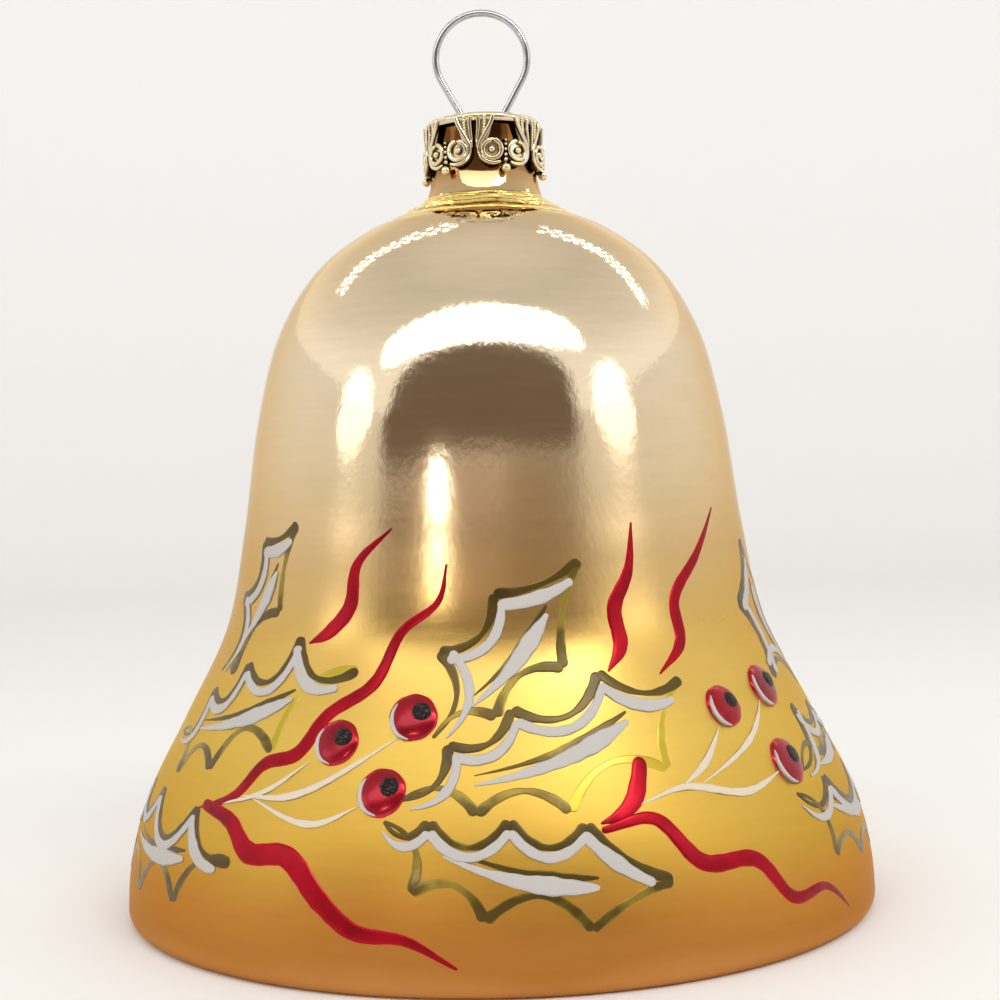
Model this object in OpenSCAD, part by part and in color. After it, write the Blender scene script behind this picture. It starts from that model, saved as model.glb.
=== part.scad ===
// Christmas bell ornament: a silvered blown-glass bell with a drawn-in bottom, a glass-bead
// clapper, a pierced crown cap and a sprung wire hanger.
//
// Millimetres. The origin is the centre of the circle that the rim stands on, and +Z runs up
// through the neck. The front faces -Y. The hanger's loop lies in the XZ plane.

/* [Glass] */
// Outer diameter of the bell, just above its rim
bell_d = 70; // [66:1:74]
// Height of the glass, from the rim to the top edge of the neck
glass_h = 72.8; // [71:0.2:75]
// Thickness of the blown wall
wall = 0.6; // [0.5:0.1:0.8]
// Outer radius of the straight neck
neck_r = 5; // [4.9:0.05:5.1]
// Outer radius of the roll where the wall turns in at the rim
rim_round = 1.2; // [1:0.1:1.8]
// Height of the drawn-in bottom's ceiling above the rim
recess_h = 33; // [32:0.5:35]

/* [Crown cap] */
// Outer radius of the cap's skirt
cap_r = 5.55; // [5.5:0.05:5.7]
// Thickness of the stamped brass
cap_t = 0.3; // [0.2:0.05:0.35]
// How far the cap's top stands above the neck
cap_rise = 1.05; // [0.9:0.05:1.2]
// Number of scroll units round the skirt
cap_units = 6; // [6:1:6]
// Turn of the first scroll unit, counted from +X
cap_turn = -68.5; // [-90:0.5:90]

/* [Hanger] */
// Diameter of the hanger's wire
hanger_d = 0.68; // [0.6:0.02:0.7]
// Radius of the loop, to the middle of the wire
loop_r = 4.4; // [4:0.1:4.6]
// Lean of the two legs from the loop down to the cap
leg_lean = 29; // [28:1:32]
// Distance of each wire hole from the cap's axis
hole_x = 1.45; // [1.4:0.05:1.6]

/* [Clapper] */
// Radius of the glass bead
bead_r = 4.5; // [4:0.1:4.8]
// Height of the bead's centre above the rim
bead_z = 9.4; // [9:0.1:12]
// Diameter of the clapper's wire and of the link's wire
clapper_d = 0.6; // [0.5:0.05:0.7]
// Diameter of the glass rod that the eye is drawn from
eye_d = 0.8; // [0.7:0.05:0.9]

/* [Hidden] */
$fn = 96;

bell_r = bell_d / 2;
steps = 5;                // straight pieces between two outline points
foot_w = 0.6;             // width of the flat that the bell stands on
foot_r = bell_r - rim_round - foot_w / 2;

// Outer wall, top to bottom: straight neck, its flare, crown, waist, skirt
outer_points = [
    [neck_r, glass_h],
    [neck_r, glass_h - 3],
    [neck_r + 0.12, glass_h - 4.6],
    [neck_r + 0.85, glass_h - 6.7],
    [0.217 * bell_r, 0.892 * glass_h],
    [0.33 * bell_r, 0.869 * glass_h],
    [0.469 * bell_r, 0.817 * glass_h],
    [0.571 * bell_r, 0.737 * glass_h],
    [0.632 * bell_r, 0.627 * glass_h],
    [0.676 * bell_r, 0.482 * glass_h],
    [0.727 * bell_r, 0.362 * glass_h],
    [0.838 * bell_r, 0.253 * glass_h],
    [0.946 * bell_r, 0.15 * glass_h],
    [0.991 * bell_r, 0.07 * glass_h],
    [bell_r, rim_round]
];

// Drawn-in bottom, from the inside of the rim up to its ceiling on the axis
recess_r = foot_r - foot_w / 2 - rim_round;
recess_points = [
    [recess_r, rim_round],
    [0.93 * recess_r, 0.21 * recess_h],
    [0.82 * recess_r, 0.38 * recess_h],
    [0.71 * recess_r, 0.55 * recess_h],
    [0.58 * recess_r, 0.72 * recess_h],
    [0.42 * recess_r, 0.87 * recess_h],
    [0.22 * recess_r, 0.965 * recess_h],
    [0, recess_h]
];

// ---- outline mathematics ----

// Chord measure of a centripetal Catmull-Rom curve
function chord(a, b) = sqrt(norm(b - a));
function mix(a, b, ta, tb, t) = a * (tb - t) / (tb - ta) + b * (t - ta) / (tb - ta);

// Point at share u of the way from p1 to p2, on the curve through p0, p1, p2 and p3
function curve_point(p0, p1, p2, p3, u) =
    let (t1 = chord(p0, p1), t2 = t1 + chord(p1, p2), t3 = t2 + chord(p2, p3),
         t = t1 + u * (t2 - t1),
         a1 = mix(p0, p1, 0, t1, t), a2 = mix(p1, p2, t1, t2, t), a3 = mix(p2, p3, t2, t3, t),
         b1 = mix(a1, a2, 0, t2, t), b2 = mix(a2, a3, t1, t3, t))
    mix(b1, b2, t1, t2, t);

// A smooth curve through all the points. first and last are the points that it would come from
// and go on to, which set its direction at the two ends.
function curve(points, first, last) =
    let (p = concat([first], points, [last]), n = len(points))
    concat([for (i = [0:n - 2], s = [0:steps - 1])
               curve_point(p[i], p[i + 1], p[i + 2], p[i + 3], s / steps)],
           [points[n - 1]]);

// Arc round c from angle a to angle b
function arc(c, r, a, b, n = 8) =
    [for (i = [0:n]) let (t = a + (b - a) * i / n) c + r * [cos(t), sin(t)]];

// Moves each point of an open line by d to the left of its way
function shifted(line, d) =
    let (n = len(line))
    [for (i = [0:n - 1])
        let (way = line[min(i + 1, n - 1)] - line[max(i - 1, 0)])
        line[i] + d * [-way[1], way[0]] / norm(way)];

function reversed(list) = [for (i = [len(list) - 1:-1:0]) list[i]];

// ---- glass ----

outer_line = concat(
    curve(outer_points, outer_points[0] + [0, 3], outer_points[14] - [0, 4]),
    [for (p = arc([bell_r - rim_round, rim_round], rim_round, -15, -90, 7)) p],
    [[foot_r, 0]]);

recess_line = concat(
    [[foot_r, 0]],
    arc([foot_r - foot_w / 2, rim_round], rim_round, -90, -165, 7),
    curve(recess_points, recess_points[0] - [0, 4], recess_points[6] * [[-1, 0], [0, 1]]));

// The wall of a line that runs with the glass on its right
module blown_wall(line) {
    inner = shifted(line, -wall);
    rotate_extrude()
        polygon(concat(line, reversed([for (p = inner) [max(p[0], 0), p[1]]])));
}

// Outer wall of the bell, with its neck
module glass_bell() {
    color("darkgoldenrod")
        blown_wall(outer_line);
}

// Inner wall: the bottom of the bulb, drawn in while soft
module drawn_in_bottom() {
    color("silver")
        blown_wall(recess_line);
}

// ---- clapper ----

ring_gap = 0.02;                             // play between two linked wires
eye_r = 1.5;                                 // loops' radii, to the middle of their wires
link_r = 1.8;
hook_r = 1.3;
foot_loop_r = 0.75;
eye_z = recess_h - eye_r - eye_d / 2 - 0.6;  // centres of the loops, from the ceiling down
link_pivot_z = eye_z - eye_r;
link_z = link_pivot_z + (eye_d + clapper_d) / 2 + ring_gap - link_r;
clapper_pivot_z = link_z - link_r;
hook_z = clapper_pivot_z + clapper_d + ring_gap - hook_r;
bead_bore_r = clapper_d / 2 + 0.03;
foot_loop_z = bead_z - bead_r - ring_gap - clapper_d / 2 - foot_loop_r;

// A closed loop of wire in the XZ plane
module loop(r, wire_r) {
    rotate([90, 0, 0])
        rotate_extrude()
            translate([r, 0])
                circle(wire_r);
}

// Glass loop that the clapper hangs from, with the drop that fuses it to the ceiling
module clapper_eye() {
    drop_h = 1.1;
    color("silver") {
        translate([0, 0, eye_z])
            loop(eye_r, eye_d / 2);
        translate([0, 0, recess_h - drop_h - 0.05])
            cylinder(r1 = 0.5, r2 = 1.1, h = drop_h);
    }
}

// Wire ring between the eye and the clapper
module clapper_link() {
    color("gold")
        translate([0, 0, link_z])
            rotate([0, 0, 90])
                loop(link_r, clapper_d / 2);
}

// Clapper wire: hook loop at the top, straight stem, and a loop that the bead sits on
module clapper_wire() {
    stem_top = hook_z - hook_r;
    stem_bottom = foot_loop_z + foot_loop_r;
    color("gold") {
        translate([0, 0, hook_z])
            loop(hook_r, clapper_d / 2);
        translate([0, 0, stem_bottom])
            cylinder(d = clapper_d, h = stem_top - stem_bottom);
        translate([0, 0, foot_loop_z])
            loop(foot_loop_r, clapper_d / 2);
    }
}

// Drilled glass bead that strikes the wall
module clapper_bead() {
    color("goldenrod")
        translate([0, 0, bead_z])
            difference() {
                sphere(bead_r);
                cylinder(r = bead_bore_r, h = 3 * bead_r, center = true);
            }
}

// ---- crown cap ----

cap_top = glass_h + cap_rise;
hole_r = 0.58;              // wire hole, wide enough for the leaning leg
scroll = [1.3, -3.6];       // centre of a scroll's eye: across the skirt, and up from the top
scroll_r = 1;
ball_z = -5.4;
ball_r = 0.42;
edge_r = 0.35;              // rounding where the top turns down into the skirt
skirt_h = 5.4;
pitch = 360 / cap_units;

// Puts its children on the skirt's outer face, with their +Z pointing outwards
module on_skirt(x, z) {
    rotate([0, 0, asin(x / cap_r)])
        translate([cap_r, 0, cap_top + z])
            rotate([0, 90, 0])
                children();
}

// Cuts its flat child through the skirt at an angle, with the child's +Y pointing up
module through_skirt(angle) {
    rotate([0, 0, angle])
        translate([3, 0, cap_top])
            rotate([90, 0, 90])
                linear_extrude(cap_r)
                    children();
}

// Plain cup that the cap is stamped from: flat top, rounded edge and straight skirt
module cap_cup() {
    inner_r = cap_r - cap_t;
    translate([0, 0, cap_top])
        rotate_extrude()
            polygon(concat([[0, -cap_t], [inner_r, -cap_t], [inner_r, -skirt_h],
                            [cap_r, -skirt_h]],
                           arc([cap_r - edge_r, -edge_r], edge_r, 0, 90, 6), [[0, 0]]));
}

// Window between the two arms of a unit, closed below by the scrolls
module window() {
    half = [[1.05, -0.4], [1.25, -1.4], [1.5, -2.4], [1.5, -3], [0.2, -3.3]];
    difference() {
        polygon(concat(half, reversed([for (p = half) [-p[0], p[1]]])));
        for (side = [-1, 1])
            translate([side * scroll[0], scroll[1]])
                circle(scroll_r + 0.25);
    }
}

// Slit between two units, which opens out into a notch below the scrolls
module slit() {
    half = [[0.08, -0.9], [0.1, -3.2], [0.3, -4.3], [0.75, -4.9], [1.7, -5.2], [2.35, -5.3],
            [2.35, -6.5]];
    polygon(concat(half, reversed([for (p = half) [-p[0], p[1]]])));
}

// Raised work on the skirt: a ring and a bead in each scroll, and a ball under each pair
module cap_relief() {
    for (i = [0:cap_units - 1])
        rotate([0, 0, cap_turn + i * pitch]) {
            for (side = [-1, 1])
                on_skirt(side * scroll[0], scroll[1]) {
                    translate([0, 0, -0.2])
                        difference() {
                            cylinder(r = scroll_r, h = 0.4);
                            translate([0, 0, 0.25])
                                cylinder(r = scroll_r - 0.3, h = 1);
                        }
                    sphere(0.38);
                }
            on_skirt(0, ball_z)
                translate([0, 0, 0.15])
                    sphere(ball_r);
        }
}

// Stamped brass crown cap
module crown_cap() {
    color("gold") {
        difference() {
            cap_cup();
            for (side = [-1, 1])
                translate([side * hole_x, 0, cap_top - 1])
                    cylinder(r = hole_r, h = 2);
            for (i = [0:cap_units - 1]) {
                through_skirt(cap_turn + i * pitch)
                    window();
                through_skirt(cap_turn + (i + 0.5) * pitch)
                    slit();
            }
        }
        cap_relief();
    }
}

// ---- hanger ----

wire_r = hanger_d / 2;
bend_r = 1.1;                        // radius of the legs' bends, to the middle of the wire
hole_z = cap_top - cap_t / 2;        // where the legs pass through the cap
leg_x = 3.55;                        // distance of the lower legs from the axis, in the neck
leg_bottom = cap_top - 12;
spread = 24;                         // lean of the stretch from the cap out to the neck's wall

// The loop's centre: each leg runs at leg_lean from the hole, and touches the loop's circle
loop_z = hole_z + (loop_r - hole_x * cos(leg_lean)) / sin(leg_lean);

// Straight wire between two points of the XZ plane
module rod(a, b) {
    way = b - a;
    translate([a[0], 0, a[1]])
        rotate([0, atan2(way[0], way[1]), 0])
            cylinder(r = wire_r, h = norm(way));
}

// Bent wire round c, from angle a to angle b in the XZ plane
module bend(c, r, a, b) {
    translate([c[0], 0, c[1]])
        rotate([90, 0, 0])
            rotate([0, 0, a])
                rotate_extrude(angle = b - a)
                    translate([r, 0])
                        circle(wire_r);
}

function along(angle) = [sin(angle), cos(angle)];

// Ball that joins two stretches of wire, a hair thicker than the wire
module knuckle(p) {
    translate([p[0], 0, p[1]])
        sphere(wire_r + 0.015);
}

// One leg, on the +X side: down from the loop, through the cap, out to the neck's wall and down
module hanger_leg() {
    top = [0, loop_z] + loop_r * [cos(leg_lean), -sin(leg_lean)];
    kink_half = bend_r * tan((leg_lean + spread) / 2);
    kink = [hole_x, hole_z];
    kink_in = kink + kink_half * along(leg_lean);
    kink_out = kink + kink_half * along(180 - spread);
    kink_centre = kink_in + bend_r * [cos(leg_lean), -sin(leg_lean)];
    heel_half = bend_r * tan(spread / 2);
    heel = kink + along(180 - spread) * (leg_x - hole_x) / sin(spread);
    heel_in = heel - heel_half * along(180 - spread);
    heel_out = heel - [0, heel_half];
    rod(top, kink_in);
    bend(kink_centre, bend_r, 180 - leg_lean, 180 + spread);
    rod(kink_out, heel_in);
    bend([leg_x - bend_r, heel_out[1]], bend_r, 0, spread);
    rod(heel_out, [leg_x, leg_bottom + wire_r]);
    for (p = [top, kink_in, kink_out, heel_in, heel_out, [leg_x, leg_bottom + wire_r]])
        knuckle(p);
}

// Spring-wire hanger: pear-shaped loop and two sprung legs
module hanger_wire() {
    color("silver")
        union() {
            bend([0, loop_z], loop_r, -leg_lean, 180 + leg_lean);
            for (side = [0, 1])
                mirror([side, 0, 0])
                    hanger_leg();
        }
}

glass_bell();
drawn_in_bottom();
clapper_eye();
crown_cap();
hanger_wire();
clapper_link();
clapper_wire();
clapper_bead();
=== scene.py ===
"""Looks of a blown-glass Christmas bell ornament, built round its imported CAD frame."""

import logging
import math
from dataclasses import dataclass, field
from enum import Enum
from typing import Iterable, Optional, Sequence, Union

import bmesh
import bpy
import numpy as np
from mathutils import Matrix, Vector


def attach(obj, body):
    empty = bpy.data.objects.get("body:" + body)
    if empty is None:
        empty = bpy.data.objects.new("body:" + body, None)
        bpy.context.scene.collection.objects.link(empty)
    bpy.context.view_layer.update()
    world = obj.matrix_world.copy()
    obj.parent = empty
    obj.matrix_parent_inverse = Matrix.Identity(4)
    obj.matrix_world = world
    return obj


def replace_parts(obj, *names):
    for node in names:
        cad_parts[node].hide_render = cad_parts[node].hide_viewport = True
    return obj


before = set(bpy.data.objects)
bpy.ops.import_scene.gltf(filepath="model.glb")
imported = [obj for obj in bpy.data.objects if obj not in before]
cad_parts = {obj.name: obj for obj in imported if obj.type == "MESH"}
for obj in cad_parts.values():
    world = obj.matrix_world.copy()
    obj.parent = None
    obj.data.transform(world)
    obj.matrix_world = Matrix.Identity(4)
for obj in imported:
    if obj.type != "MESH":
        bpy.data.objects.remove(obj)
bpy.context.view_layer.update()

LOG = logging.getLogger("bell")
MM = 0.001
SEED = 20
GLASS_SLOT = "gold_lacquered_glass"
# a way that no tube here starts along, to set its first side by
SLANT = (0.31, 0.95, 0.11)
STROKE_SIDES = 9
DOME_SIDES = 40

Value = Union[float, Sequence[float], bpy.types.NodeSocket]
StrokePoint = tuple[float, float, float]
Spot = tuple[float, float]


# ---- colour and nodes


def linear(hex_colour: str) -> tuple[float, float, float, float]:
    """Turns an sRGB colour of six hex digits into linear RGBA, with alpha 1."""
    channels = [int(hex_colour[i:i + 2], 16) / 255 for i in (0, 2, 4)]
    rgb = [c / 12.92 if c <= 0.04045 else ((c + 0.055) / 1.055) ** 2.4 for c in channels]
    return rgb[0], rgb[1], rgb[2], 1.0


def add_node(
    tree: bpy.types.NodeTree,
    kind: str,
    settings: Optional[dict[str, object]] = None,
    inputs: Optional[dict[Union[str, int], Value]] = None,
    stops: Iterable[tuple[float, str]] = (),
) -> bpy.types.Node:
    """Adds a node with its settings, its inputs and, on a ramp, its colour stops.

    Args:
        tree: the node tree that the node goes into.
        kind: Blender's name for the node type.
        settings: properties of the node.
        inputs: socket name or index to a plain value, or to an output socket to link.
        stops: position and hex colour of each stop of a colour ramp.

    Returns:
        The new node.
    """
    node = tree.nodes.new(kind)
    for name, value in (settings or {}).items():
        setattr(node, name, value)
    for name, value in (inputs or {}).items():
        if isinstance(value, bpy.types.NodeSocket):
            tree.links.new(value, node.inputs[name])
        else:
            node.inputs[name].default_value = value
    for index, (position, colour) in enumerate(stops):
        elements = node.color_ramp.elements
        element = elements[index] if index < 2 else elements.new(position)
        element.position = position
        element.color = linear(colour)
    return node


# ---- curves and surfaces


def full_turn(count: int) -> np.ndarray:
    """Angles in radians of evenly spaced points round a circle."""
    return np.linspace(0, 2 * math.pi, count, endpoint=False)


def directions(line: np.ndarray) -> np.ndarray:
    """Unit vectors along a line, one for each of its points."""
    way = np.gradient(line, axis=0)
    return way / np.linalg.norm(way, axis=1)[:, None]


def distances(line: np.ndarray) -> np.ndarray:
    """How far along a line each of its points lies."""
    return np.concatenate([[0], np.cumsum(np.linalg.norm(np.diff(line, axis=0), axis=1))])


def curve_through(points: np.ndarray, first: np.ndarray, last: np.ndarray,
                  steps: int) -> np.ndarray:
    """Runs a centripetal Catmull-Rom curve through all the points.

    Args:
        points: the points, one a row.
        first: where the curve would come from.
        last: where the curve would go on to.
        steps: straight pieces between two points.

    Returns:
        The curve's points, one a row.
    """
    def mix(a: np.ndarray, b: np.ndarray, low: float, high: float) -> np.ndarray:
        """Point between a, at the low end, and b, at the high end."""
        return (a * (high - t) + b * (t - low)) / (high - low)

    p = np.vstack([first, points, last]).astype(float)
    out = []
    for i in range(len(points) - 1):
        knots = [0.0]
        for a, b in zip(p[i:i + 3], p[i + 1:i + 4]):
            knots.append(knots[-1] + max(np.linalg.norm(b - a), 1e-6) ** 0.5)
        t0, t1, t2, t3 = knots
        for t in np.linspace(t1, t2, steps, endpoint=False):
            near = mix(p[i + 1], p[i + 2], t1, t2)
            before = mix(mix(p[i], p[i + 1], t0, t1), near, t0, t2)
            after = mix(near, mix(p[i + 2], p[i + 3], t2, t3), t1, t3)
            out.append(mix(before, after, t1, t2))
    out.append(p[-2])
    return np.array(out)


def arc_points(centre: Sequence[float], radius: float, start: float, end: float,
               count: int) -> np.ndarray:
    """Points of a flat arc between two angles in degrees, one a row."""
    angles = np.radians(np.linspace(start, end, count))
    return np.array(centre) + radius * np.column_stack([np.cos(angles), np.sin(angles)])


def shifted(line: np.ndarray, distance: float) -> np.ndarray:
    """Moves each point of an open flat line by a distance to the left of its way."""
    way = directions(line)
    return line + distance * np.column_stack([-way[:, 1], way[:, 0]])


@dataclass
class Turned:
    """A surface of revolution that paint or relief is laid on. All in millimetres.

    The azimuth is 0 at the front and grows to the right.
    """

    line: np.ndarray

    def __post_init__(self) -> None:
        """Sorts the outline by height."""
        order = np.argsort(self.line[:, 1], kind="stable")
        self.heights = self.line[order, 1]
        self.radii = self.line[order, 0]

    def radius(self, z: np.ndarray) -> np.ndarray:
        """Radius of the surface at a height."""
        return np.interp(z, self.heights, self.radii)

    def normal(self, azimuth: np.ndarray, z: np.ndarray) -> np.ndarray:
        """Outward unit normals at azimuths in radians and heights."""
        step = 0.05
        slope = (self.radius(z + step) - self.radius(z - step)) / (2 * step)
        size = np.sqrt(1 + slope ** 2)
        return np.stack([np.sin(azimuth) / size, -np.cos(azimuth) / size, -slope / size], -1)

    def place(self, azimuth: np.ndarray, z: np.ndarray,
              lift: Union[float, np.ndarray] = 0.0) -> np.ndarray:
        """Points at azimuths in radians and heights, lifted off the surface."""
        r = self.radius(z)
        base = np.stack([r * np.sin(azimuth), -r * np.cos(azimuth), z], -1)
        return base + np.asarray(lift)[..., None] * self.normal(azimuth, z)


# ---- meshes


def make_object(name: str, points: Iterable[Sequence[float]], faces: Iterable[Sequence[int]],
                material: bpy.types.Material) -> bpy.types.Object:
    """Makes a smooth object, with its faces looking outwards, and links it to the scene.

    Args:
        name: its name.
        points: its points in metres, one a row.
        faces: its faces as numbers of points.
        material: what it is made of.

    Returns:
        The new object.
    """
    mesh = bpy.data.meshes.new(name)
    mesh.from_pydata([Vector(p) for p in points], [], [tuple(f) for f in faces])
    bm = bmesh.new()
    bm.from_mesh(mesh)
    bmesh.ops.recalc_face_normals(bm, faces=bm.faces)
    bm.to_mesh(mesh)
    bm.free()
    mesh.polygons.foreach_set("use_smooth", [True] * len(mesh.polygons))
    mesh.materials.append(material)
    piece = bpy.data.objects.new(name, mesh)
    bpy.context.scene.collection.objects.link(piece)
    return piece


def grid_faces(rows: int, size: int, closed: bool = False) -> list[tuple[int, ...]]:
    """Faces between rows of points that run round, and from the last row to the first."""
    return [(i * size + j, i * size + (j + 1) % size, (i + 1) % rows * size + (j + 1) % size,
             (i + 1) % rows * size + j)
            for i in range(rows if closed else rows - 1) for j in range(size)]


@dataclass
class Shell:
    """Collects closed shells, in millimetres, and turns them into one object."""

    points: list[tuple[float, float, float]] = field(default_factory=list)
    faces: list[tuple[int, ...]] = field(default_factory=list)
    shade: list[float] = field(default_factory=list)

    def add(self, points: np.ndarray, faces: Iterable[Sequence[int]],
            shade: Optional[np.ndarray] = None) -> None:
        """Adds a shell, whose faces count from its own first point, with its shades."""
        start = len(self.points)
        self.points += [tuple(p) for p in points]
        self.faces += [tuple(start + i for i in f) for f in faces]
        self.shade += [0.0] * len(points) if shade is None else [float(s) for s in shade]

    def add_loops(self, loops: np.ndarray, shade: Optional[np.ndarray] = None,
                  capped: bool = True) -> None:
        """Adds a skin over a row of loops.

        Args:
            loops: array of loops, points and coordinates.
            shade: array of loops and points.
            capped: whether the first and last loop get an end cap.
        """
        count, size, _ = loops.shape
        points = loops.reshape(-1, 3)
        marks = np.zeros(count * size) if shade is None else shade.reshape(-1)
        faces = grid_faces(count, size)
        if capped:
            points = np.vstack([points, loops[0].mean(0), loops[-1].mean(0)])
            marks = np.append(marks, [marks[:size].mean(), marks[-size:].mean()])
            head, tail = count * size, count * size + 1
            last = (count - 1) * size
            faces += [(head, (j + 1) % size, j) for j in range(size)]
            faces += [(tail, last + j, last + (j + 1) % size) for j in range(size)]
        self.add(points, faces, marks)

    def vectors(self) -> list[Vector]:
        """The points in metres."""
        return [Vector(p) * MM for p in self.points]

    def build(self, name: str, finish: "Finish", body: str) -> bpy.types.Object:
        """Makes the object, dresses it and lets it ride on its body.

        Args:
            name: the piece's name.
            finish: what its surface is made of.
            body: the CAD body that it moves with.

        Returns:
            The new object.
        """
        piece = make_object(name, self.vectors(), self.faces, finish.material())
        mark = piece.data.attributes.new("shade", "FLOAT", "POINT")
        mark.data.foreach_set("value", self.shade)
        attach(piece, body)
        LOG.info("%s: %d points, %s, on %s", name, len(self.points), finish.name, body)
        return piece


def lathe(outline: np.ndarray, segments: int) -> np.ndarray:
    """Loops round the Z axis, one for each radius and height of an outline."""
    angle = full_turn(segments)
    return np.stack([np.outer(outline[:, 0], np.sin(angle)),
                     -np.outer(outline[:, 0], np.cos(angle)),
                     np.repeat(outline[:, 1][:, None], segments, 1)], -1)


def turned_shell(outline: np.ndarray, segments: int, shade: float = 0.0) -> Shell:
    """Makes a closed shell from a closed outline turned round the Z axis."""
    shell = Shell()
    points = lathe(outline, segments).reshape(-1, 3)
    faces = grid_faces(len(outline), segments, closed=True)
    shell.add(points, faces, np.full(len(points), shade))
    return shell


def tube_loops(path: np.ndarray, radius: Union[float, np.ndarray], sides: int) -> np.ndarray:
    """Sweeps a circle along a path without twisting it.

    Args:
        path: the path's points, one a row.
        radius: the tube's radius, or one for each point.
        sides: points round the tube.

    Returns:
        Array of loops, points and coordinates.
    """
    way = directions(path)
    side = np.cross(way[0], SLANT)
    angle = full_turn(sides)
    radii = np.broadcast_to(radius, len(path))
    loops = []
    for centre, along, r in zip(path, way, radii):
        side = side - along * side.dot(along)
        side /= np.linalg.norm(side)
        other = np.cross(along, side)
        loops.append(centre + r * (np.outer(np.cos(angle), side) + np.outer(np.sin(angle), other)))
    return np.array(loops)


def wire_loops(path: np.ndarray, radius: float, sides: int) -> np.ndarray:
    """Sweeps a wire along a path, with both of its ends rounded off."""
    turn = np.radians(np.linspace(0, 85, 6))
    head, tail = path[0] - path[1], path[-1] - path[-2]
    head, tail = head / np.linalg.norm(head), tail / np.linalg.norm(tail)
    start = [path[0] + head * radius * math.sin(t) for t in turn[::-1]]
    end = [path[-1] + tail * radius * math.sin(t) for t in turn]
    full = np.vstack([start, path[1:-1], end])
    radii = np.concatenate([radius * np.cos(turn[::-1]), np.full(len(path) - 2, radius),
                            radius * np.cos(turn)])
    return tube_loops(full, radii, sides)


def add_ring(shell: Shell, z: float, radius: float, wire: float, sides: int,
             turn: float = 0.0) -> None:
    """Adds a wire ring that stands on the axis, turned from XZ by an angle in degrees."""
    angle = np.linspace(0, 2 * math.pi, 73)
    x = radius * np.cos(angle)
    flat = math.radians(turn)
    path = np.array((0, 0, z)) + np.column_stack([x * math.cos(flat), x * math.sin(flat),
                                                  radius * np.sin(angle)])
    shell.add_loops(tube_loops(path, wire, sides), capped=False)


def add_ball(shell: Shell, centre: Sequence[float], radius: float, rings: int) -> None:
    """Adds a ball to a shell."""
    polar = np.radians(np.linspace(4, 176, rings))
    outline = np.column_stack([radius * np.sin(polar), radius * np.cos(polar)])
    shell.add_loops(lathe(outline, 2 * rings) + np.array(centre))


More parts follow.
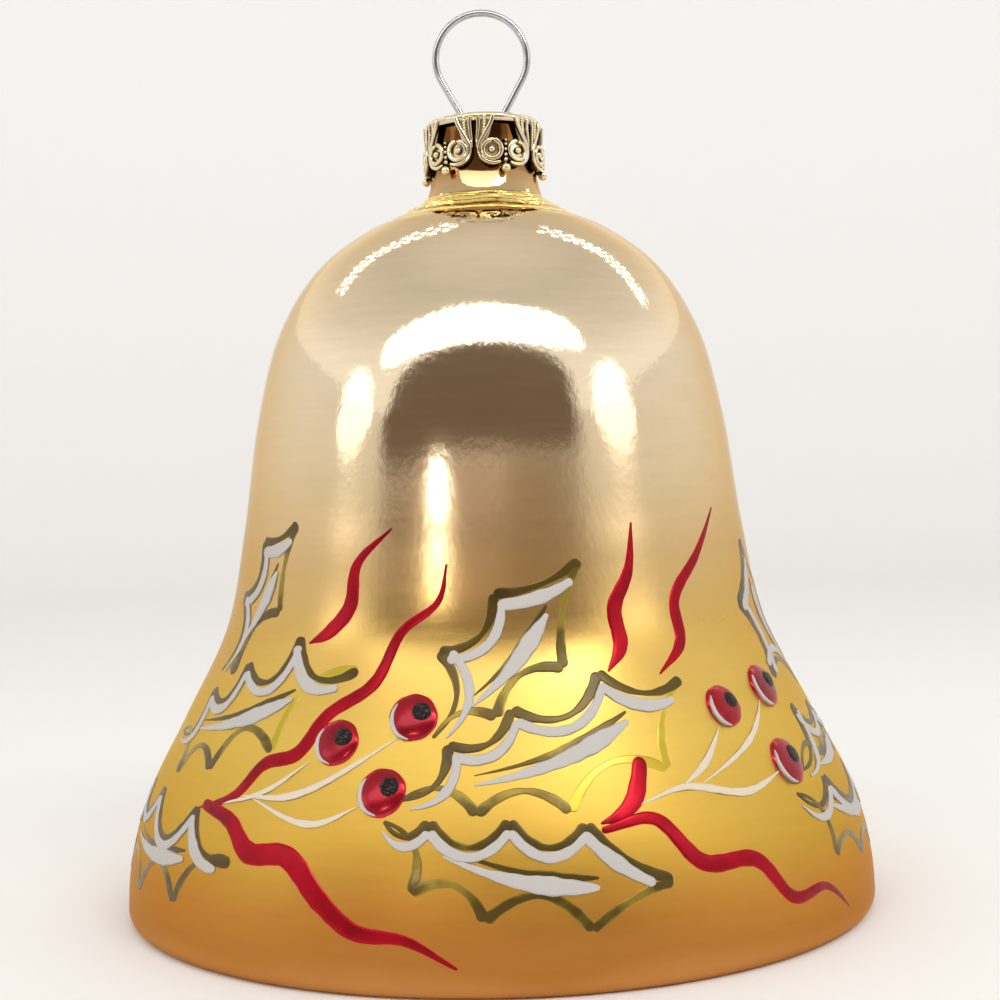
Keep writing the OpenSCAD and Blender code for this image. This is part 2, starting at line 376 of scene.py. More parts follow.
@dataclass
class Relief:
    """Paint or stamped work laid on a turned surface, in millimetres."""

    surface: Turned
    base: float
    rise: float
    wobble: float = 0.0
    pooling: float = 0.0
    shell: Shell = field(default_factory=Shell)
    root: float = -0.05

    def __post_init__(self) -> None:
        """Starts the hand's unsteadiness from a fixed seed."""
        self.random = np.random.default_rng(SEED)

    def stroke(self, points: Sequence[StrokePoint], rise: Optional[float] = None,
               base: Optional[float] = None, thinness: float = 0.0,
               pitch: float = 0.22) -> None:
        """Lays one stroke of the brush.

        Args:
            points: azimuth in degrees, height and width of the stroke's centre line.
            rise: thickness in the stroke's middle.
            base: height of its edges above the surface.
            thinness: how thin the paint is at its two ends, from 0 to 1.
            pitch: length of one step along the stroke.
        """
        rise = self.rise if rise is None else rise
        base = self.base if base is None else base
        mean = float(np.mean([self.surface.radius(p[1]) for p in points]))
        knots = np.array([(math.radians(a) * mean, z, w) for a, z, w in points])
        first, last = 2 * knots[0] - knots[1], 2 * knots[-1] - knots[-2]
        dense = curve_through(knots, first, last, 14)
        gone = distances(self.surface.place(dense[:, 0] / mean, dense[:, 1]))
        length = gone[-1]
        steps = max(8, int(length / pitch))
        ease = 0.5 - 0.5 * np.cos(np.linspace(0, math.pi, 9))
        ends = min(0.25, 0.5 * max(dense[0, 2], dense[-1, 2], 0.3) / length)
        at = np.concatenate([ease * ends, np.linspace(ends, 1 - ends, steps)[1:-1],
                             1 - ends + ease * ends]) * length
        at[0], at[-1] = 0.004, length - 0.004
        azimuth = np.interp(at, gone, dense[:, 0]) / mean
        z = np.interp(at, gone, dense[:, 1])
        half = np.interp(at, gone, dense[:, 2]) / 2
        for distance, width in ((at, dense[0, 2]), (length - at, dense[-1, 2])):
            round_off = np.clip(distance / max(width / 2, 0.02), 0, 1)
            half = half * np.sqrt(1 - (1 - round_off) ** 2)
        half *= 1 + self.wobble * self._drift(at)
        path = self.surface.place(azimuth, z)
        side = np.cross(self.surface.normal(azimuth, z), directions(path))
        across = -np.cos(np.linspace(0, math.pi, STROKE_SIDES))
        flat = path[:, None] + side[:, None] * (across[None, :] * half[:, None])[..., None]
        angle = np.arctan2(flat[..., 0], -flat[..., 1])
        bulge = np.sqrt(np.clip(1 - np.abs(across) ** 6, 0, 1))[None, :]
        full = np.clip(half / max(half.max(), 1e-6) * 1.6, 0.15, 1)[:, None]
        top = self.surface.place(angle, flat[..., 2], base + rise * bulge * full)
        under = self.surface.place(angle[:, [-1, 0]], flat[:, [-1, 0], 2], self.root)
        # the shade mark: thinner dye along the middle and edges of a lacquer stroke, and painted
        # shade along the edges of chalk and metal strokes
        run = thinness + self.pooling * np.sin(math.pi * at / length)
        shade = np.concatenate([run[:, None] + np.abs(across)[None, :] ** 8,
                                np.ones((len(at), 2))], 1).clip(0, 1)
        self.shell.add_loops(np.concatenate([top, under], 1), shade)

    def dome(self, azimuth: float, z: float, radius: float, rise: Optional[float] = None,
             base: Optional[float] = None) -> None:
        """Lays a round drop.

        Args:
            azimuth: its centre's azimuth in degrees.
            z: its centre's height.
            radius: its radius.
            rise: height in its middle.
            base: height of its edge above the surface.
        """
        rise = self.rise if rise is None else rise
        base = self.base if base is None else base
        turn = full_turn(DOME_SIDES)
        a = math.radians(azimuth)
        out = self.surface.normal(a, z)
        right = np.array([math.cos(a), math.sin(a), 0.0])
        up = np.cross(out, right)
        up *= math.copysign(1, up[2])
        share = np.sin(np.linspace(0.03, 1, 11) * math.pi / 2)[::-1]
        edge = 1 + self.wobble * self._drift(turn * radius)
        spot = (np.cos(turn)[:, None] * right + np.sin(turn)[:, None] * up) * edge[:, None]
        flat = self.surface.place(a, z) + radius * share[:, None, None] * spot[None]
        angle = np.arctan2(flat[..., 0], -flat[..., 1])
        lift = base + rise * np.sqrt(np.clip(1 - share ** 2.4, 0, 1))[:, None]
        top = self.surface.place(angle, flat[..., 2], lift)
        under = self.surface.place(angle[:1], flat[:1, :, 2], self.root)
        # the shade mark rises to the rim: thinner dye on a berry, and painted shade round the
        # cap's raised domes
        shade = np.append(1, share ** 6)[:, None].repeat(DOME_SIDES, 1)
        self.shell.add_loops(np.concatenate([under, top]), shade)

    def _drift(self, at: np.ndarray) -> np.ndarray:
        """Slow wander from -1 to 1 along a distance in millimetres."""
        waves = self.random.uniform(0, 2 * math.pi, 3)
        return sum(np.sin(at * k + w) for k, w in zip((0.9, 2.1, 4.3), waves)) / 3


# ---- finishes


@dataclass(frozen=True)
class Looks:
    """A material's node tree, with short ways to add what varies over a surface."""

    tree: bpy.types.NodeTree

    def space(self) -> bpy.types.NodeSocket:
        """Place in the object's own space."""
        return add_node(self.tree, "ShaderNodeTexCoord").outputs["Object"]

    def shade(self) -> bpy.types.NodeSocket:
        """The number that the mesh carries at each point."""
        return add_node(self.tree, "ShaderNodeAttribute",
                        {"attribute_name": "shade"}).outputs["Fac"]

    def noise(self, size: float, stretch: Sequence[float] = (1, 1, 1),
              detail: float = 2.0) -> bpy.types.NodeSocket:
        """Noise in spots of a size in millimetres, run finer along each axis by stretch."""
        scaled = add_node(self.tree, "ShaderNodeMapping",
                          inputs={"Vector": self.space(), "Scale": tuple(stretch)})
        return add_node(self.tree, "ShaderNodeTexNoise", inputs={
            "Vector": scaled.outputs[0], "Scale": 1 / (size * MM),
            "Detail": detail}).outputs["Fac"]

    def flakes(self, size: float) -> bpy.types.Node:
        """Broken cells of a size in millimetres."""
        return add_node(self.tree, "ShaderNodeTexVoronoi",
                        inputs={"Vector": self.space(), "Scale": 1 / (size * MM)})

    def math(self, operation: str, *values: Value) -> bpy.types.NodeSocket:
        """Result of a sum on values or sockets."""
        return add_node(self.tree, "ShaderNodeMath", {"operation": operation},
                        dict(enumerate(values))).outputs[0]

    def mixed(self, value: Value, share: float, rest: Value) -> bpy.types.NodeSocket:
        """A share of one value on top of another."""
        return self.math("MULTIPLY_ADD", value, share, rest)

    def spread(self, value: Value, low: float, high: float) -> bpy.types.NodeSocket:
        """A value of 0 to 1 spread between two others."""
        return add_node(self.tree, "ShaderNodeMapRange",
                        inputs={"Value": value, "To Min": low, "To Max": high}).outputs[0]

    def ramp(self, value: Value, stops: Iterable[tuple[float, str]]) -> bpy.types.NodeSocket:
        """Colour between the stops at a value."""
        return add_node(self.tree, "ShaderNodeValToRGB", inputs={"Fac": value},
                        stops=stops).outputs["Color"]

    def bump(self, height: Value, depth: float, strength: float = 1.0) -> bpy.types.NodeSocket:
        """Normal of a surface with a height pattern that is depth millimetres deep."""
        return add_node(self.tree, "ShaderNodeBump", inputs={
            "Height": height, "Distance": depth * MM, "Strength": strength}).outputs["Normal"]

    def link(self, shader: bpy.types.Node, **sockets: bpy.types.NodeSocket) -> None:
        """Links what varies to the shader's inputs, by name with _ for a space."""
        for name, value in sockets.items():
            self.tree.links.new(value, shader.inputs[name.replace("_", " ")])


@dataclass(frozen=True)
class Finish:
    """What a surface is made of. A kind of finish fills in dress()."""

    name: str
    slot: str

    def material(self) -> bpy.types.Material:
        """Makes the material, or finds it if it is there already."""
        found = bpy.data.materials.get(self.name)
        if found:
            return found
        made = bpy.data.materials.new(self.name)
        made.use_nodes = True
        made.node_tree.nodes.clear()
        shader = add_node(made.node_tree, "ShaderNodeBsdfPrincipled")
        add_node(made.node_tree, "ShaderNodeOutputMaterial",
                 inputs={"Surface": shader.outputs["BSDF"]})
        self.dress(Looks(made.node_tree), shader)
        return made

    def dress(self, looks: Looks, shader: bpy.types.Node) -> None:
        """Fills in the shader's sockets."""
        raise NotImplementedError


@dataclass(frozen=True)
class GoldLacqueredGlass(Finish):
    """Blown glass, silvered inside and sprayed outside with clear gold lacquer.

    The dome keeps the mirror's gloss. The skirt was sprayed again with matt yellow and amber
    lacquer, which breaks the mirror into a satin glow, darkest near the rim. The tint by height
    also holds painted light: a pale band at the rim itself is a painted reflection of the floor,
    and the neck darkens up under the cap as painted shade.
    """

    # tint by height: the paler stops at 0.0 and 0.03 are a painted reflection of the floor just
    # above the rim, and the darkening from 0.92 up is painted shade on the neck under the cap
    tints: tuple[tuple[float, str], ...] = (
        (0.0, "DCA460"), (0.03, "CC9050"), (0.06, "BE803C"), (0.10, "C88A3E"), (0.17, "D6AC4A"),
        (0.27, "E1BF5E"), (0.38, "DCB666"), (0.47, "DDBB84"), (0.58, "EBD3AC"),
        (0.70, "ECDABC"), (0.87, "ECDABC"), (0.92, "DCC69C"), (0.96, "A87E4E"), (1.0, "6E4622"))
    gloss: tuple[tuple[float, str], ...] = (
        (0.0, "A8A8A8"), (0.20, "B0B0B0"), (0.30, "AAAAAA"), (0.35, "969696"), (0.40, "808080"),
        (0.52, "767676"), (0.58, "5A5A5A"), (0.63, "3C3C3C"), (1.0, "303030"))
    edge: str = "F2DFC2"
    glass_top: float = 74.0
    wander: float = 4.0

    def dress(self, looks: Looks, shader: bpy.types.Node) -> None:
        """Grades tint and gloss by height, with wiped streaks and a blower's slow waves."""
        up = add_node(looks.tree, "ShaderNodeSeparateXYZ",
                      inputs={"Vector": looks.space()}).outputs["Z"]
        # the sprayed bands wander up and down in patches 18 mm wide
        wandered = looks.mixed(looks.noise(18, detail=3), self.wander * MM, up)
        height = looks.math("DIVIDE", wandered, self.glass_top * MM)
        # streaks 0.5 mm high that run round the bell, left by the lacquer as it was spun
        streaks = looks.noise(5, (1, 1, 9), 4)
        # the height ramp puts its painted floor reflection and its painted shade under the cap
        # into the base colour
        colour = add_node(looks.tree, "ShaderNodeVectorMath", {"operation": "SCALE"}, {
            0: looks.ramp(height, self.tints), "Scale": looks.spread(streaks, 0.93, 1.05)})
        # 0.5 mm grain of the dried lacquer, over the blower's waves 9 mm long
        grain = looks.mixed(looks.noise(0.5, (1, 1, 0.6)), 0.2, looks.noise(9, detail=1))
        looks.link(shader, Base_Color=colour.outputs[0], Normal=looks.bump(grain, 0.06, 0.7),
                   Roughness=looks.mixed(streaks, 0.06, looks.ramp(height, self.gloss)))
        shader.inputs["Metallic"].default_value = 1.0
        # lacquer over the mirror keeps its colour where the glass turns away
        shader.inputs["Specular Tint"].default_value = linear(self.edge)


@dataclass(frozen=True)
class MetalFinish(Finish):
    """A bare or plated metal, with its tone broken up by handling and its own grain."""

    light: str = "E6E6E8"
    dark: str = "B9BABF"
    roughness: float = 0.15
    grain: float = 1.0
    depth: float = 0.01

    def dress(self, looks: Looks, shader: bpy.types.Node) -> None:
        """Runs the tone from light on the high places to painted shade in the hollows."""
        spots = looks.noise(self.grain, detail=4)
        # painted shade: the mesh's shade mark darkens the hollows and the edges of the raised
        # work, on top of random spots
        hollow = looks.math("SUBTRACT", looks.mixed(spots, 0.35, looks.shade()), 0.12)
        looks.link(shader, Normal=looks.bump(spots, self.depth),
                   Base_Color=looks.ramp(hollow, ((0.0, self.light), (1.0, self.dark))),
                   Roughness=looks.mixed(spots, 0.14, self.roughness - 0.05))
        shader.inputs["Metallic"].default_value = 1.0


@dataclass(frozen=True)
class ClearLacquer(Finish):
    """Transparent dye lacquer brushed over the mirror: dark where thick, pale at its edge."""

    thick: str
    middle: str
    thin: str
    metallic: float = 0.55
    roughness: float = 0.3
    coat: float = 0.15

    def dress(self, looks: Looks, shader: bpy.types.Node) -> None:
        """Thins the dye towards the edge of the stroke, and lets it pool in spots."""
        pool = looks.noise(3.2, detail=3)
        thinness = looks.math("SUBTRACT", looks.mixed(looks.shade(), 0.7, pool), 0.28)
        stops = ((0.0, self.thick), (0.42, self.middle), (0.74, self.middle), (0.98, self.thin))
        looks.link(shader, Base_Color=looks.ramp(thinness, stops), Normal=looks.bump(pool, 0.03))
        shader.inputs["Metallic"].default_value = self.metallic
        shader.inputs["Roughness"].default_value = self.roughness
        shader.inputs["Coat Weight"].default_value = self.coat
        shader.inputs["Coat Roughness"].default_value = 0.08


@dataclass(frozen=True)
class ChalkPaint(Finish):
    """Thick opaque white paint with glass frit stirred in, brushed on as snow."""

    light: str = "BCB8B4"
    dark: str = "8C847A"
    frit: float = 0.15

    def dress(self, looks: Looks, shader: bpy.types.Node) -> None:
        """Greys the paint along the edges of each stroke as painted shade, and in patches where it
        lies thin, and roughens it with frit.
        """
        drag = looks.noise(2.4)
        # painted shade: the shade mark greys the white along each stroke's edges; the drag noise
        # greys it in random patches
        thinness = looks.mixed(looks.shade(), 0.5, drag)
        frit = looks.flakes(self.frit).outputs["Distance"]
        looks.link(shader, Roughness=looks.spread(frit, 0.35, 0.75),
                   Base_Color=looks.ramp(thinness, ((0.72, self.light), (1.0, self.dark))),
                   Normal=looks.bump(looks.mixed(frit, 0.25, drag), 0.04))


@dataclass(frozen=True)
class Glitter(Finish):
    """Crushed glass flakes shaken on to wet dark lacquer."""

    dark: str = "0E0908"
    bright: str = "5A4A46"
    flake: float = 0.12

    def dress(self, looks: Looks, shader: bpy.types.Node) -> None:
        """Gives each flake its own tone and tilt."""
        flakes = looks.flakes(self.flake)
        tone = looks.ramp(flakes.outputs["Color"], ((0.6, self.dark), (0.95, self.bright)))
        looks.link(shader, Base_Color=tone,
                   Normal=looks.bump(flakes.outputs["Distance"], 0.03))
        shader.inputs["Metallic"].default_value = 0.6
        shader.inputs["Roughness"].default_value = 0.3


@dataclass(frozen=True)
class StudioPaper(Finish):
    """Matt backdrop paper."""

    tone: str = "F7F7F7"

    def dress(self, looks: Looks, shader: bpy.types.Node) -> None:
        """Sets one pale tone with the faintest tooth."""
        looks.link(shader, Normal=looks.bump(looks.noise(1.5, detail=3), 0.02, 0.2))
        shader.inputs["Base Color"].default_value = linear(self.tone)
        shader.inputs["Roughness"].default_value = 0.9


GOLD = GoldLacqueredGlass("gold_lacquered_blown_glass", GLASS_SLOT)
SILVER = MetalFinish("silvered_blown_glass", "silvered_glass", "DEDCD6", "C9C6BE", 0.10, 6, 0.04)
# lacquer that ran down and dried in folds round the neck: thick, so bright and yellow; the troughs
# of the folds get painted shade
POOLED = MetalFinish("pooled_gold_lacquer", GLASS_SLOT, "FFE690", "D09830", 0.12, 0.8, 0.06)
# brass stamped so thin that it creases, with a bright wash; its hollows get painted shade in the
# dark tone
BRASS = MetalFinish("bright_washed_stamped_brass", "stamped_brass", "F6E8C4", "3E260E", 0.10,
                    0.7, 0.02)
STEEL = MetalFinish("drawn_spring_steel", "spring_steel", "C4C7CC", "7E828A", 0.16, 0.5)
BRASS_WIRE = MetalFinish("drawn_brass_wire", "brass_wire", "E8C887", "A47A38", 0.18, 0.5)
BEAD = MetalFinish("gold_lacquered_glass_bead", "lacquered_bead", "E3BE62", "B9812E", 0.08, 4,
                   0.03)
RED = ClearLacquer("red_dye_lacquer", GLASS_SLOT, "6A0412", "AC0820", "D8485A", 0.85, 0.32, 0.05)
BERRY = ClearLacquer("red_berry_lacquer", GLASS_SLOT, "7A0416", "A40A22", "D22848", 0.8, 0.26,
                     0.3)
HOLLY = ClearLacquer("brown_green_dye_lacquer", GLASS_SLOT, "35260A", "5A4814", "9A8430", 0.6,
                     0.34)
YELLOW = ClearLacquer("yellow_dye_lacquer", GLASS_SLOT, "9A8620", "BDA32E", "DCC650", 0.75, 0.34)
SNOW = ChalkPaint("white_chalk_paint", GLASS_SLOT)
STEM = ChalkPaint("bone_chalk_paint", GLASS_SLOT, "D9CDB8", "7E6A48")
BLACK = Glitter("black_glass_glitter", GLASS_SLOT)
PAPER = StudioPaper("backdrop_paper", GLASS_SLOT)


# ---- the bell's glass


@dataclass
class BellGlass:
    """The blown glass: outer wall with its neck, and the bottom drawn in. Millimetres."""

    rim_radius: float = 35.0
    glass_height: float = 72.8
    wall: float = 0.6
    neck_radius: float = 5.0
    rim_round: float = 1.2
    foot_width: float = 0.6
    recess_height: float = 33.0
    pool_top: float = 66.45
    pool_bottom: float = 64.3
    segments: int = 288
    steps: int = 14

    def outer_line(self) -> np.ndarray:
        """Outline of the outer wall, from the neck's top edge down to the foot."""
        r, h, neck = self.rim_radius, self.glass_height, self.neck_radius
        shares = ((0.217, 0.892), (0.33, 0.869), (0.469, 0.817), (0.571, 0.737), (0.632, 0.627),
                  (0.676, 0.482), (0.727, 0.362), (0.838, 0.253), (0.946, 0.15), (0.991, 0.07))
        knots = np.array([(neck, h), (neck, h - 3), (neck + 0.12, h - 4.6), (neck + 0.85, h - 6.7),
                          *[(a * r, b * h) for a, b in shares], (r, self.rim_round)])
        line = curve_through(knots, knots[0] + [0, 3], knots[-1] - [0, 4], self.steps)
        roll = arc_points((r - self.rim_round, self.rim_round), self.rim_round, -4, -90, 22)
        return np.vstack([line, roll])

    def recess_line(self) -> np.ndarray:
        """Outline of the drawn-in bottom, from the foot up to the middle of its ceiling."""
        inner = self.rim_radius - self.rim_round - self.foot_width
        r, h = inner - self.rim_round, self.recess_height
        shares = ((0.93, 0.21), (0.82, 0.38), (0.71, 0.55), (0.58, 0.72), (0.42, 0.87),
                  (0.22, 0.965), (0.0, 1.0))
        knots = np.array([(r, self.rim_round), *[(a * r, b * h) for a, b in shares]])
        line = curve_through(knots, knots[0] - [0, 4], knots[-2] * [-1, 1], self.steps)
        roll = arc_points((inner, self.rim_round), self.rim_round, -90, -176, 22)
        return np.vstack([roll, line])

    def surface(self) -> Turned:
        """The outer wall as something to paint on."""
        return Turned(self.outer_line())

    def build(self) -> None:
        """Makes the outer wall, the drawn-in bottom and the pooled lacquer."""
        foot = self.rim_radius - self.rim_round - self.foot_width / 2
        outer = np.vstack([self.outer_line(), [foot, 0]])
        lip = arc_points((self.neck_radius - self.wall / 2, self.glass_height), self.wall / 2,
                         165, 15, 8)
        inner = shifted(outer, -self.wall)
        wall = turned_shell(np.vstack([outer, inner[::-1], lip]), self.segments)
        piece = wall.build("bell_wall", GOLD, "bell")
        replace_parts(piece, "glass_bell")

        low = np.vstack([[foot, 0], self.recess_line()])
        high = shifted(low, -self.wall)
        low[-1, 0] = high[-1, 0] = 0.02
        recess = turned_shell(np.vstack([low, high[::-1]]), self.segments)
        piece = recess.build("drawn_in_bottom_wall", SILVER, "bell")
        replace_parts(piece, "drawn_in_bottom")
        self._pool().build("pooled_lacquer", POOLED, "bell")

    def _pool(self) -> Shell:
        """Lacquer that pooled round the foot of the neck and dried in folds, with painted shade in
        their troughs.
        """
        random = np.random.default_rng(SEED)
        surface = self.surface()
        segments, rows = 240, 34
        angle = full_turn(segments)
        share = np.linspace(0, 1, rows)[:, None]
        waves = [(k, random.uniform(0, 2 * math.pi), random.uniform(0.3, 1) / k ** 0.7)
                 for k in (3, 5, 8, 13, 21, 29)]
        edge = sum(a * np.sin(k * angle + p) for k, p, a in waves)
        top = self.pool_top + 0.06 * edge
        bottom = self.pool_bottom + 0.16 * edge
        z = top * (1 - share) + bottom * share
        ripple = np.sin(share * 21 + 0.9 * edge + 0.6 * np.sin(9 * angle))
        crackle = np.sin(31 * angle + 9 * share) * np.sin(17 * angle - 23 * share + edge)
        fade = np.sin(share * math.pi) ** 0.5
        lift = 0.03 + fade * (0.2 + 0.09 * ripple + 0.06 * crackle * share)
        turn = np.repeat(angle[None, :], rows, 0)
        over = surface.place(turn, z, lift)
        under = surface.place(turn[[-1, 0]], z[[-1, 0]], -0.1)
        shell = Shell()
        # painted shade: the troughs of the ripple are darkened
        dark = np.clip(0.5 - 0.5 * ripple, 0, 1) * 0.8
        loops = np.concatenate([over, under, over[:1]])
        shades = np.concatenate([dark, np.zeros((2, segments)), dark[:1]])
        shell.add_loops(loops, shades, capped=False)
        return shell


# ---- the painting


class Paint(Enum):
    """Paints of the picture: finish, edge height, thickness, unsteadiness and pooling."""

    YELLOW = (YELLOW, 0.01, 0.02, 0.12, 0.4)
    HOLLY = (HOLLY, 0.012, 0.03, 0.12, 0.5)
    RED = (RED, 0.02, 0.07, 0.06, 0.15)
    STEM = (STEM, 0.03, 0.09, 0.12, 0.0)
    SNOW = (SNOW, 0.05, 0.09, 0.12, 0.0)


@dataclass(frozen=True)
class Berry:
    """A painted berry: its middle as azimuth and height, and its radius in mm."""

    azimuth: float
    z: float
    radius: float


@dataclass(frozen=True)
class Leaf:
    """A holly leaf, given by its two ends and the spines along each edge, base first.

    The arcs between the spines bow in towards the midrib. Snow lies along the upper edge.
    """

    base: Spot
    apex: Spot
    upper: tuple[Spot, ...]
    lower: tuple[Spot, ...]
    bow: float = 0.26
    end_bow: float = 0.1
    snow_inset: float = 0.95
    vein_drop: float = 0.7
    yellow_arcs: int = 0

    def flat(self, spot: Spot, radius: float) -> np.ndarray:
        """Where a spot falls on the drawing when the bell is unrolled."""
        return np.array([math.radians(spot[0]) * radius, spot[1]])

    def arc(self, start: Spot, end: Spot, radius: float, inset: float,
            widths: Sequence[float], until: float = 1.0) -> list[StrokePoint]:
        """One scallop between two spines, or the flatter run from the last one to the apex.

        Args:
            start: the spine it starts from.
            end: the spine it runs to.
            radius: the bell's radius at the leaf.
            inset: how far it is moved in towards the midrib.
            widths: the stroke's width at its start, middle and end.
            until: share of the way where the brush is lifted.

        Returns:
            The stroke's points.
        """
        a, b = self.flat(start, radius), self.flat(end, radius)
        middle = (self.flat(self.base, radius) + self.flat(self.apex, radius)) / 2
        chord = b - a
        span = float(np.linalg.norm(chord))
        normal = np.array([-chord[1], chord[0]]) / span
        normal *= math.copysign(1, float(normal.dot(middle - (a + b) / 2)))
        points = []
        for share in np.linspace(0, until, 7):
            bulge = math.sin(math.pi * share) ** 0.85 * span
            bulge *= self.end_bow if end == self.apex else self.bow
            spot = a + chord * share + normal * (inset + bulge)
            width = float(np.interp(share / until, (0, 0.5, 1), widths))
            points.append((math.degrees(spot[0] / radius), spot[1], width))
        return points

    def outline(self, spines: Sequence[Spot], radius: float) -> list[list[StrokePoint]]:
        """The dye lines of one edge, thick at each spine, from the base to the apex."""
        stops = [self.base, *spines, self.apex]
        return [self.arc(a, b, radius, 0, (0.95 if i else 0.3, 0.5, 1.0))
                for i, (a, b) in enumerate(zip(stops, stops[1:]))]

    def snow(self, radius: float) -> list[list[StrokePoint]]:
        """Snow along the upper edge, swelling on its last arc and ending short of the apex."""
        stops = [self.base, *self.upper, self.apex]
        arcs = [self.arc(a, b, radius, self.snow_inset, (0.85 if i else 0.15, 0.85, 0.7))
                for i, (a, b) in enumerate(zip(stops, stops[1:-1]))]
        return arcs + [self.arc(*stops[-2:], radius, self.snow_inset, (0.85, 1.2, 0.7), 0.85)]

    def vein(self, radius: float, drop: float, width: float) -> list[StrokePoint]:
        """Midrib, which sags and swells towards the apex, lowered by a drop in millimetres."""
        a, b = self.flat(self.base, radius), self.flat(self.apex, radius)
        points = []
        for share in np.linspace(0, 1, 8):
            spot = a + (b - a) * (0.22 + 0.52 * share)
            spot[1] -= 0.6 * math.sin(math.pi * share) + drop
            points.append((math.degrees(spot[0] / radius), spot[1],
                           width * float(np.interp(share, (0, 0.3, 0.7, 0.9, 1),
                                                    (0.1, 0.5, 1, 0.7, 0.25)))))
        return points


@dataclass(frozen=True)
class Ribbon:
    """A stroke whose width swells from a point. Spots are azimuth and height.

    Its tip is its width at the far end, as a share of its full width.
    """

    width: float
    spots: tuple[Spot, ...]
    tip: float = 0.12

    def points(self) -> list[StrokePoint]:
        """The stroke's points with their widths."""
        last = len(self.spots) - 1
        shares = [i / last for i in range(last + 1)]
        swell = [max(math.sin(math.pi * t ** 1.4) ** 0.5, 0.12 + (self.tip - 0.12) * t)
                 for t in shares]
        return [(a, z, self.width * w) for (a, z), w in zip(self.spots, swell)]


